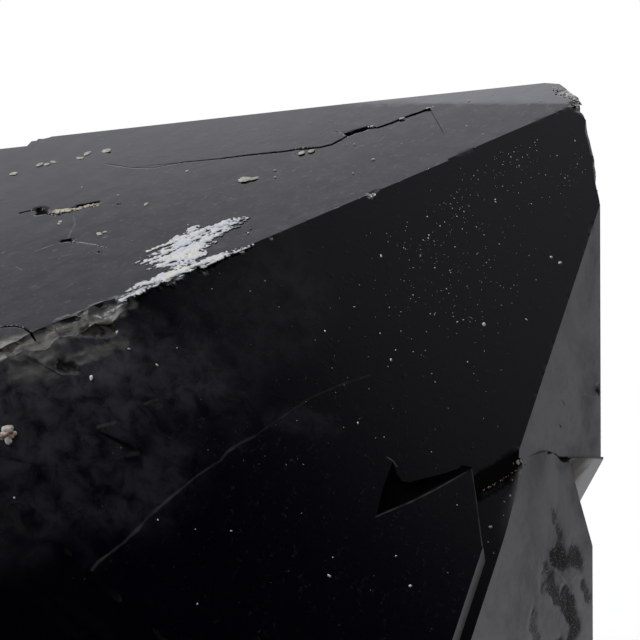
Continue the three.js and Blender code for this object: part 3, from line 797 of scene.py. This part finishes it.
def grains(name, face, places, seed, rings=4, turns=6, flatness=0.5):
    """One mesh of closed lumps on a face, each given as across, down and radius. On a lump u
    runs from pole to pole and v round it: a point is (sin u cos v, sin u sin v, cos u) times a
    radius that smooth noise moves in and out, stretched along the face, pressed flat along its
    normal, turned at random about it and scaled to the lump's radius."""
    rng = np.random.default_rng(seed)
    across, down, radius = np.array(places, dtype=float).T
    count = len(radius)
    u = np.linspace(0, math.pi, rings + 1)[1:-1, None]
    v = np.linspace(0, 2 * math.pi, turns + 1)[None, :-1]
    ball = np.stack([np.sin(u) * np.cos(v), np.sin(u) * np.sin(v), np.cos(u) + 0 * v], -1).reshape(-1, 3)
    ball = np.concatenate([ball, [[0, 0, 1], [0, 0, -1]]])
    apart = rng.uniform(0, 30, (count, 1, 3))
    spread = (ball + apart).reshape(-1, 3)
    swell = 1 + 0.45 * drift(spread, 1.1, seed) + 0.2 * drift(spread, 0.45, seed + 1)
    shapes = ball[None] * swell.reshape(count, -1, 1)
    long_side, short_side = rng.uniform(1.0, 1.5, count), rng.uniform(0.65, 1.0, count)
    shapes *= np.stack([long_side, short_side, rng.uniform(0.8, 1.2, count) * flatness], 1)[:, None]
    angle = rng.uniform(0, 2 * math.pi, count)[:, None]
    x = shapes[..., 0] * np.cos(angle) - shapes[..., 1] * np.sin(angle)
    y = shapes[..., 0] * np.sin(angle) + shapes[..., 1] * np.cos(angle)
    size = radius[:, None]
    lift = size * (shapes[..., 2] + 0.3 * flatness)
    points = on_face(face, across[:, None] + size * x, down[:, None] + size * y, lift)
    points[..., 2] = np.minimum(points[..., 2], cad_box[1][2] * 1000.0)
    number = np.arange((rings - 1) * turns).reshape(rings - 1, turns)
    after = np.roll(number, -1, axis=1)
    quads = np.stack([number[:-1], number[1:], after[1:], after[:-1]], -1).reshape(-1, 4)
    pole = number.size
    caps = np.concatenate([np.stack([0 * number[0] + pole, number[0], after[0]], 1),
                           np.stack([0 * number[0] + pole + 1, after[-1], number[-1]], 1)])
    starts = (pole + 2) * np.arange(count)[:, None, None]
    quads, caps = (quads + starts).reshape(-1, 4), (caps + starts).reshape(-1, 3)
    piece = mesh_piece(name, points.reshape(-1, 3), [quads, caps], sharp=60)
    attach(piece, "root")
    return piece


def grain_finish(name, light, dark, size=0.3):
    """A dry pale mineral, mottled between two colours."""
    finish, tree, place = new_finish(name)
    share = ease(tree, noise(tree, place, size, 3.0), 0.32, 0.66)
    colour = blend(tree, share, dark, light)
    dry = add_node(tree, "ShaderNodeBsdfPrincipled", {}, {"Base Color": colour, "Roughness": 0.7})
    surface_of(tree, dry["BSDF"])
    return finish


# Specks on the black face as across, down and radius.
SPECKS = [
    (0.27, 9.04, 0.1), (-0.66, 8.91, 0.05), (2.23, 3.49, 0.07), (3.58, 6.92, 0.07), (-1.78, 12.67, 0.06),
    (-2.85, 23.96, 0.11), (6.8, 13.55, 0.15), (7.62, 13.41, 0.15), (6.31, 22.38, 0.16),
    (0.8, 18.85, 0.06), (1.00, 16.13, 0.06), (0.74, 21.52, 0.07), (-1.11, 18.33, 0.06),
    (-1.35, 20.34, 0.05), (-1.76, 28.93, 0.09), (0.97, 29.14, 0.09), (2.87, 30.22, 0.14),
    (-2.13, 32.15, 0.1), (2.44, 22.24, 0.06), (0.88, 24.66, 0.06), (-8.11, 33.87, 0.05),
    (-7.83, 32.38, 0.06), (4.11, 36.08, 0.08), (9.64, 46.84, 0.14), (14.44, 43.15, 0.12),
    (13.36, 35.66, 0.06), (12.34, 42.11, 0.08), (6.19, 35.5, 0.05), (-5.78, 33.24, 0.05),
    (-10.2, 35.88, 0.05), (-1.77, 52.43, 0.08), (2.47, 49.33, 0.09), (4.05, 55.15, 0.07),
    (-9.91, 58.37, 0.1), (-11.9, 47.77, 0.16), (-9.23, 43.53, 0.11), (-11.43, 44.07, 0.11),
    (-9.05, 41.43, 0.07), (0.2, 26.9, 0.06), (4.3, 27.6, 0.05),
]
# Fields of dust: middle across and down, spread across and down, and how many.
DUST = [
    (-0.1, 9.9, 1.2, 2.0, 90), (3.7, 5.6, 0.8, 2.0, 50), (-1.3, 16.2, 0.9, 1.8, 60),
    (-1.5, 20.8, 1.1, 1.0, 50), (1.9, 20.2, 1.1, 2.2, 45), (0.4, 24.0, 0.8, 1.4, 30),
    (4.4, 22.5, 1.8, 3.2, 70), (2.0, 17.0, 3.4, 5.5, 130), (1.0, 32.0, 8.0, 12.0, 120),
]
rng = np.random.default_rng(5)
dust = np.concatenate([rng.normal((a, d), (wide, high), (n, 2)) for a, d, wide, high, n in DUST])
dust_radius = np.clip(rng.lognormal(math.log(0.019), 0.5, len(dust)), 0.009, 0.07)
dust = np.column_stack([dust, dust_radius])
spots = on_face("black", dust[:, 0], dust[:, 1])
clear = np.minimum.reduce([place_on(face, spots)[2] for face in ("upper", "grey", "right", "prism_0")])
specks = np.concatenate([np.array(SPECKS) * (1.0, 1.0, 0.85), dust[clear > 0.75]])
black_face_dust = grains("black_face_dust", "black", specks, 31)
pale_dust = grain_finish("pale_dust", (0.80, 0.79, 0.77), (0.36, 0.365, 0.37), 0.12)
black_face_dust.data.materials.append(pale_dust)

# Pale grains on the upper face: across, down and radius.
UPPER_GRAINS = [
    (-0.6, 27.81, 0.5), (-0.35, 27.2, 0.3), (-3.15, 22.3, 0.26), (-2.95, 21.55, 0.28),
    (-5.12, 31.31, 0.13), (-1.06, 25.14, 0.09), (0.29, 25.52, 0.1), (-0.53, 35.76, 0.19),
    (-3.7, 37.3, 0.09), (-7.05, 39.51, 0.08), (-5.13, 13.19, 0.19), (-5.95, 10.6, 0.16),
    (-6.0, 10.2, 0.12), (-5.37, 7.31, 0.12), (-0.43, 9.29, 0.08), (1.89, 8.79, 0.06), (1.47, 17.83, 0.12),
    (3.19, 20.02, 0.07), (-2.36, 18.18, 0.08), (2.83, 40.24, 0.24), (2.75, 39.8, 0.16),
    (5.22, 33.82, 0.08), (13.2, 34.66, 0.26), (9.3, 30.2, 0.1), (-5.05, 15.8, 0.14), (-13.23, 44.01, 0.3),
    (-13.77, 41.65, 0.34), (-13.69, 40.49, 0.28), (-13.2, 38.4, 0.26), (-13.7, 37.7, 0.36),
    (-13.31, 36.09, 0.34), (-13.5, 41.1, 0.22), (-0.9, 42.65, 0.13), (-1.3, 42.45, 0.15),
]
upper_grains = grains("upper_face_grains", "upper", UPPER_GRAINS, 42, rings=10, turns=16, flatness=0.22)
upper_grains.data.materials.append(grain_finish("pale_grain", (0.33, 0.325, 0.28), (0.20, 0.197, 0.16)))

# The yellow-white crust that fills part of the open crack.
run = np.linspace(0, 1, 40)
a = np.interp(run, [0, 0.32, 0.5, 1], [-3.30, -3.05, -2.95, -2.85]) + rng.normal(0, 0.13, 40)
d = np.interp(run, [0, 0.32, 0.5, 1], [42.35, 41.6, 40.9, 39.0]) + rng.normal(0, 0.07, 40)
size = np.interp(run, [0, 0.35, 0.5, 1], [0.26, 0.22, 0.13, 0.13]) * rng.uniform(0.6, 1.2, 40)
row = np.column_stack([a, d, size])
crack_crust = grains("crack_crust", "upper", row, 33, rings=8, turns=12, flatness=0.4)
crack_crust.data.materials.append(grain_finish("yellow_crust", (0.44, 0.42, 0.33), (0.22, 0.20, 0.13), 0.2))

# Crumbs of bruised quartz on the tip.
a = np.concatenate([rng.normal(-2.9, 0.5, 26), rng.uniform(-2.4, 0.3, 30)])
d = np.concatenate([np.abs(rng.normal(0.25, 0.3, 26)), np.abs(rng.normal(0.05, 0.15, 30))])
size = rng.uniform(0.03, 0.09, 56)
tip_crumbs = grains("tip_crumbs", "upper", np.column_stack([a, d - 0.05, size]), 34, flatness=0.6)
bruised = grain_finish("bruised_quartz", (0.46, 0.455, 0.41), (0.25, 0.245, 0.21), 0.15)
tip_crumbs.data.materials.append(bruised)

# A lump of rusty white mineral low on the worn corner.
a = np.array([-13.44, -13.1, -12.96, -13.5, -13.0, -13.3])
d = np.array([54.95, 55.2, 55.5, 55.6, 54.9, 55.3])
lumps = np.column_stack([a, d, [0.36, 0.30, 0.28, 0.26, 0.22, 0.34]])
corner_lump = grains("corner_lump", "black", lumps, 35, rings=10, turns=14, flatness=0.35)
corner_lump.data.materials.append(grain_finish("rusty_white", (0.50, 0.50, 0.50), (0.33, 0.20, 0.12), 0.6))

# Gold-coloured grains in a row across the top of the sunken strip, and pale ones on its floor,
# which is 0.7 mm under the black face.
FACES["strip"] = crystal_face(0, PYRAMID, -0.7)
FACES["strip_top"] = crystal_face(0, PYRAMID, -0.48)
FACES["strip_end"] = crystal_face(0, PYRAMID, -0.33)
run = np.sort(rng.uniform(0, 1, 42))
a = np.interp(run, [0, 1], [14.09, 15.35]) + rng.normal(0, 0.03, 42)
d = np.interp(run, [0, 0.5, 1], [33.25, 31.4, 28.87])
row = np.column_stack([a, d, rng.uniform(0.02, 0.055, 42)])
gold_grains = grains("gold_grains", "strip_top", row, 36, flatness=0.5)
gold_grains.data.materials.append(grain_finish("gold_crust", (0.42, 0.33, 0.20), (0.14, 0.10, 0.06), 0.1))
STRIP_SPECKS = [(15.98, 31.67, 0.08), (15.36, 30.53, 0.06), (15.95, 32.36, 0.05), (16.29, 34.75, 0.12),
                (16.84, 35.82, 0.07), (17.66, 36.19, 0.07), (16.5, 33.3, 0.05)]
strip_grains = grains("strip_grains", "strip", STRIP_SPECKS, 37, flatness=0.5)
strip_grains.data.materials.append(grain_finish("pinkish_dust", (0.55, 0.50, 0.48), (0.26, 0.19, 0.16), 0.12))
END_LUMPS = [(14.55, 29.55, 0.15), (14.75, 29.25, 0.18), (14.95, 29.0, 0.12), (14.4, 29.9, 0.09)]
end_lumps = grains("strip_end_lumps", "strip_end", END_LUMPS, 38, rings=8, turns=12, flatness=0.4)
end_lumps.data.materials.append(strip_grains.data.materials[0])

# The studio.
# A plain pale floor under the crystal that fades into a plain white surround. The surround is
# bright behind, softer on the right, and dark on the viewer's side, as in the photograph.
FLOOR_RADIUS, FLOOR_LEVEL, RINGS, SPOKES = 170.0, -0.15, 24, 96
ring = np.linspace(0, FLOOR_RADIUS, RINGS + 1)[1:, None]
turn = np.linspace(0, 2 * math.pi, SPOKES + 1)[None, :-1]
level = np.full((RINGS, SPOKES), FLOOR_LEVEL)
floor_points = np.stack([ring * np.cos(turn), ring * np.sin(turn), level], -1).reshape(-1, 3)
floor_points = np.concatenate([floor_points, [[0, 0, FLOOR_LEVEL]]])
number = np.arange(RINGS * SPOKES).reshape(RINGS, SPOKES)
after = np.roll(number, -1, axis=1)
rings = np.stack([number[:-1], number[1:], after[1:], after[:-1]], -1).reshape(-1, 4)
hub = np.stack([0 * number[0] + number.size, number[0], after[0]], 1)
floor = mesh_piece("floor", floor_points, [rings, hub])

pale_floor, tree, place = new_finish("pale_floor")
away = add_node(tree, "ShaderNodeVectorMath", {"operation": "LENGTH"}, {"Vector": place})["Value"]
surface_of(tree, add_node(tree, "ShaderNodeBsdfPrincipled", {},
                          {"Base Color": (0.93, 0.93, 0.93), "Roughness": 0.9, "Specular IOR Level": 0.0,
                           "Alpha": ease(tree, away, 0.165, 0.10)})["BSDF"])
floor.data.materials.append(pale_floor)

surround = bpy.data.worlds.new("surround")
surround.use_nodes = True
tree = surround.node_tree
tree.nodes.clear()
toward = add_node(tree, "ShaderNodeTexCoord", {}, {})["Generated"]
part = add_node(tree, "ShaderNodeSeparateXYZ", {}, {"Vector": toward})
bearing = part["Y"].sum_with("ARCTAN2", part["Y"], part["X"]) * (1 / (2 * math.pi)) + 0.5
rise = part["Z"].sum_with("ARCSINE", part["Z"]) * (2 / math.pi)

# Brightness round the room, by bearing in degrees from the right-hand side.
ROUND = [
    (-180, 0.5), (179.9, 0.46), (-150, 0.36), (-130, 0.12), (-115, 0.0), (-60, 0.0), (-36, 0.001),
    (-30, 0.004), (-26, 0.01), (-24, 0.022), (-22, 0.052), (-20, 0.1), (-17, 0.17), (-12, 0.245),
    (-8, 0.3), (-3, 0.42), (12, 0.52), (28, 0.7), (36, 0.7), (44, 0.41), (52, 0.26), (60, 0.36),
    (74, 0.54), (92, 0.6), (98, 0.55), (104, 0.43), (112, 0.4),
]
# Brightness behind the crystal, by height in degrees.
RISE = [
    (0, 0.3), (90, 0.2), (22.5, 0.72), (25.3, 0.56), (26.4, 0.5), (27.2, 0.47), (27.7, 0.36),
    (28.4, 0.33), (30.0, 0.285), (45.0, 0.24),
]
stops = {"interpolation": "LINEAR", "stops": [((at + 180.0) / 360.0, level) for at, level in ROUND]}
round_ramp = add_node(tree, "ShaderNodeValToRGB", stops, {"Fac": bearing})["Color"]
stops = {"stops": [(at / 90.0, level) for at, level in RISE]}
rise_ramp = add_node(tree, "ShaderNodeValToRGB", stops, {"Fac": rise})["Color"]
behind = ease(tree, part["Y"], 0.55, 0.80)
level = add_node(tree, "ShaderNodeMix", {"data_type": "FLOAT"},
                 {"Factor_Float": behind, "A_Float": 0.30, "B_Float": rise_ramp})["Result_Float"]
tinted = add_node(tree, "ShaderNodeVectorMath", {"operation": "MULTIPLY"},
                  {"Vector": round_ramp, "Vector_001": (0.975, 0.985, 1.06)})["Vector"]
sheen = add_node(tree, "ShaderNodeBackground", {}, {"Color": tinted, "Strength": level * 3.333})["Background"]
white = add_node(tree, "ShaderNodeBackground", {}, {"Color": (1.0, 1.0, 1.0), "Strength": 1.0})["Background"]
seen = add_node(tree, "ShaderNodeLightPath", {}, {})["Is Camera Ray"]
lit = add_node(tree, "ShaderNodeMixShader", {}, {"Fac": seen, "Shader": sheen, "Shader_001": white})["Shader"]
add_node(tree, "ShaderNodeOutputWorld", {}, {"Surface": lit})
bpy.context.scene.world = surround


def soft_light(name, spot, aim, width, power):
    """A square panel that shines from one place, in millimetres, towards another."""
    lamp = bpy.data.lights.new(name, "AREA")
    lamp.size = width * 0.001
    lamp.energy = power
    held = bpy.data.objects.new(name, lamp)
    spot, aim = np.array(spot) * 0.001, np.array(aim) * 0.001
    toward = aim - spot
    held.location = spot
    flat = math.hypot(toward[0], toward[1])
    held.rotation_euler = (math.atan2(flat, -toward[2]), 0.0, math.atan2(toward[0], -toward[1]) + math.pi)
    bpy.context.scene.collection.objects.link(held)


soft_light("overhead", (-380, 120, 620), (0, 0, 0), 420, 6.0)
bpy.context.scene.view_settings.view_transform = "Standard"
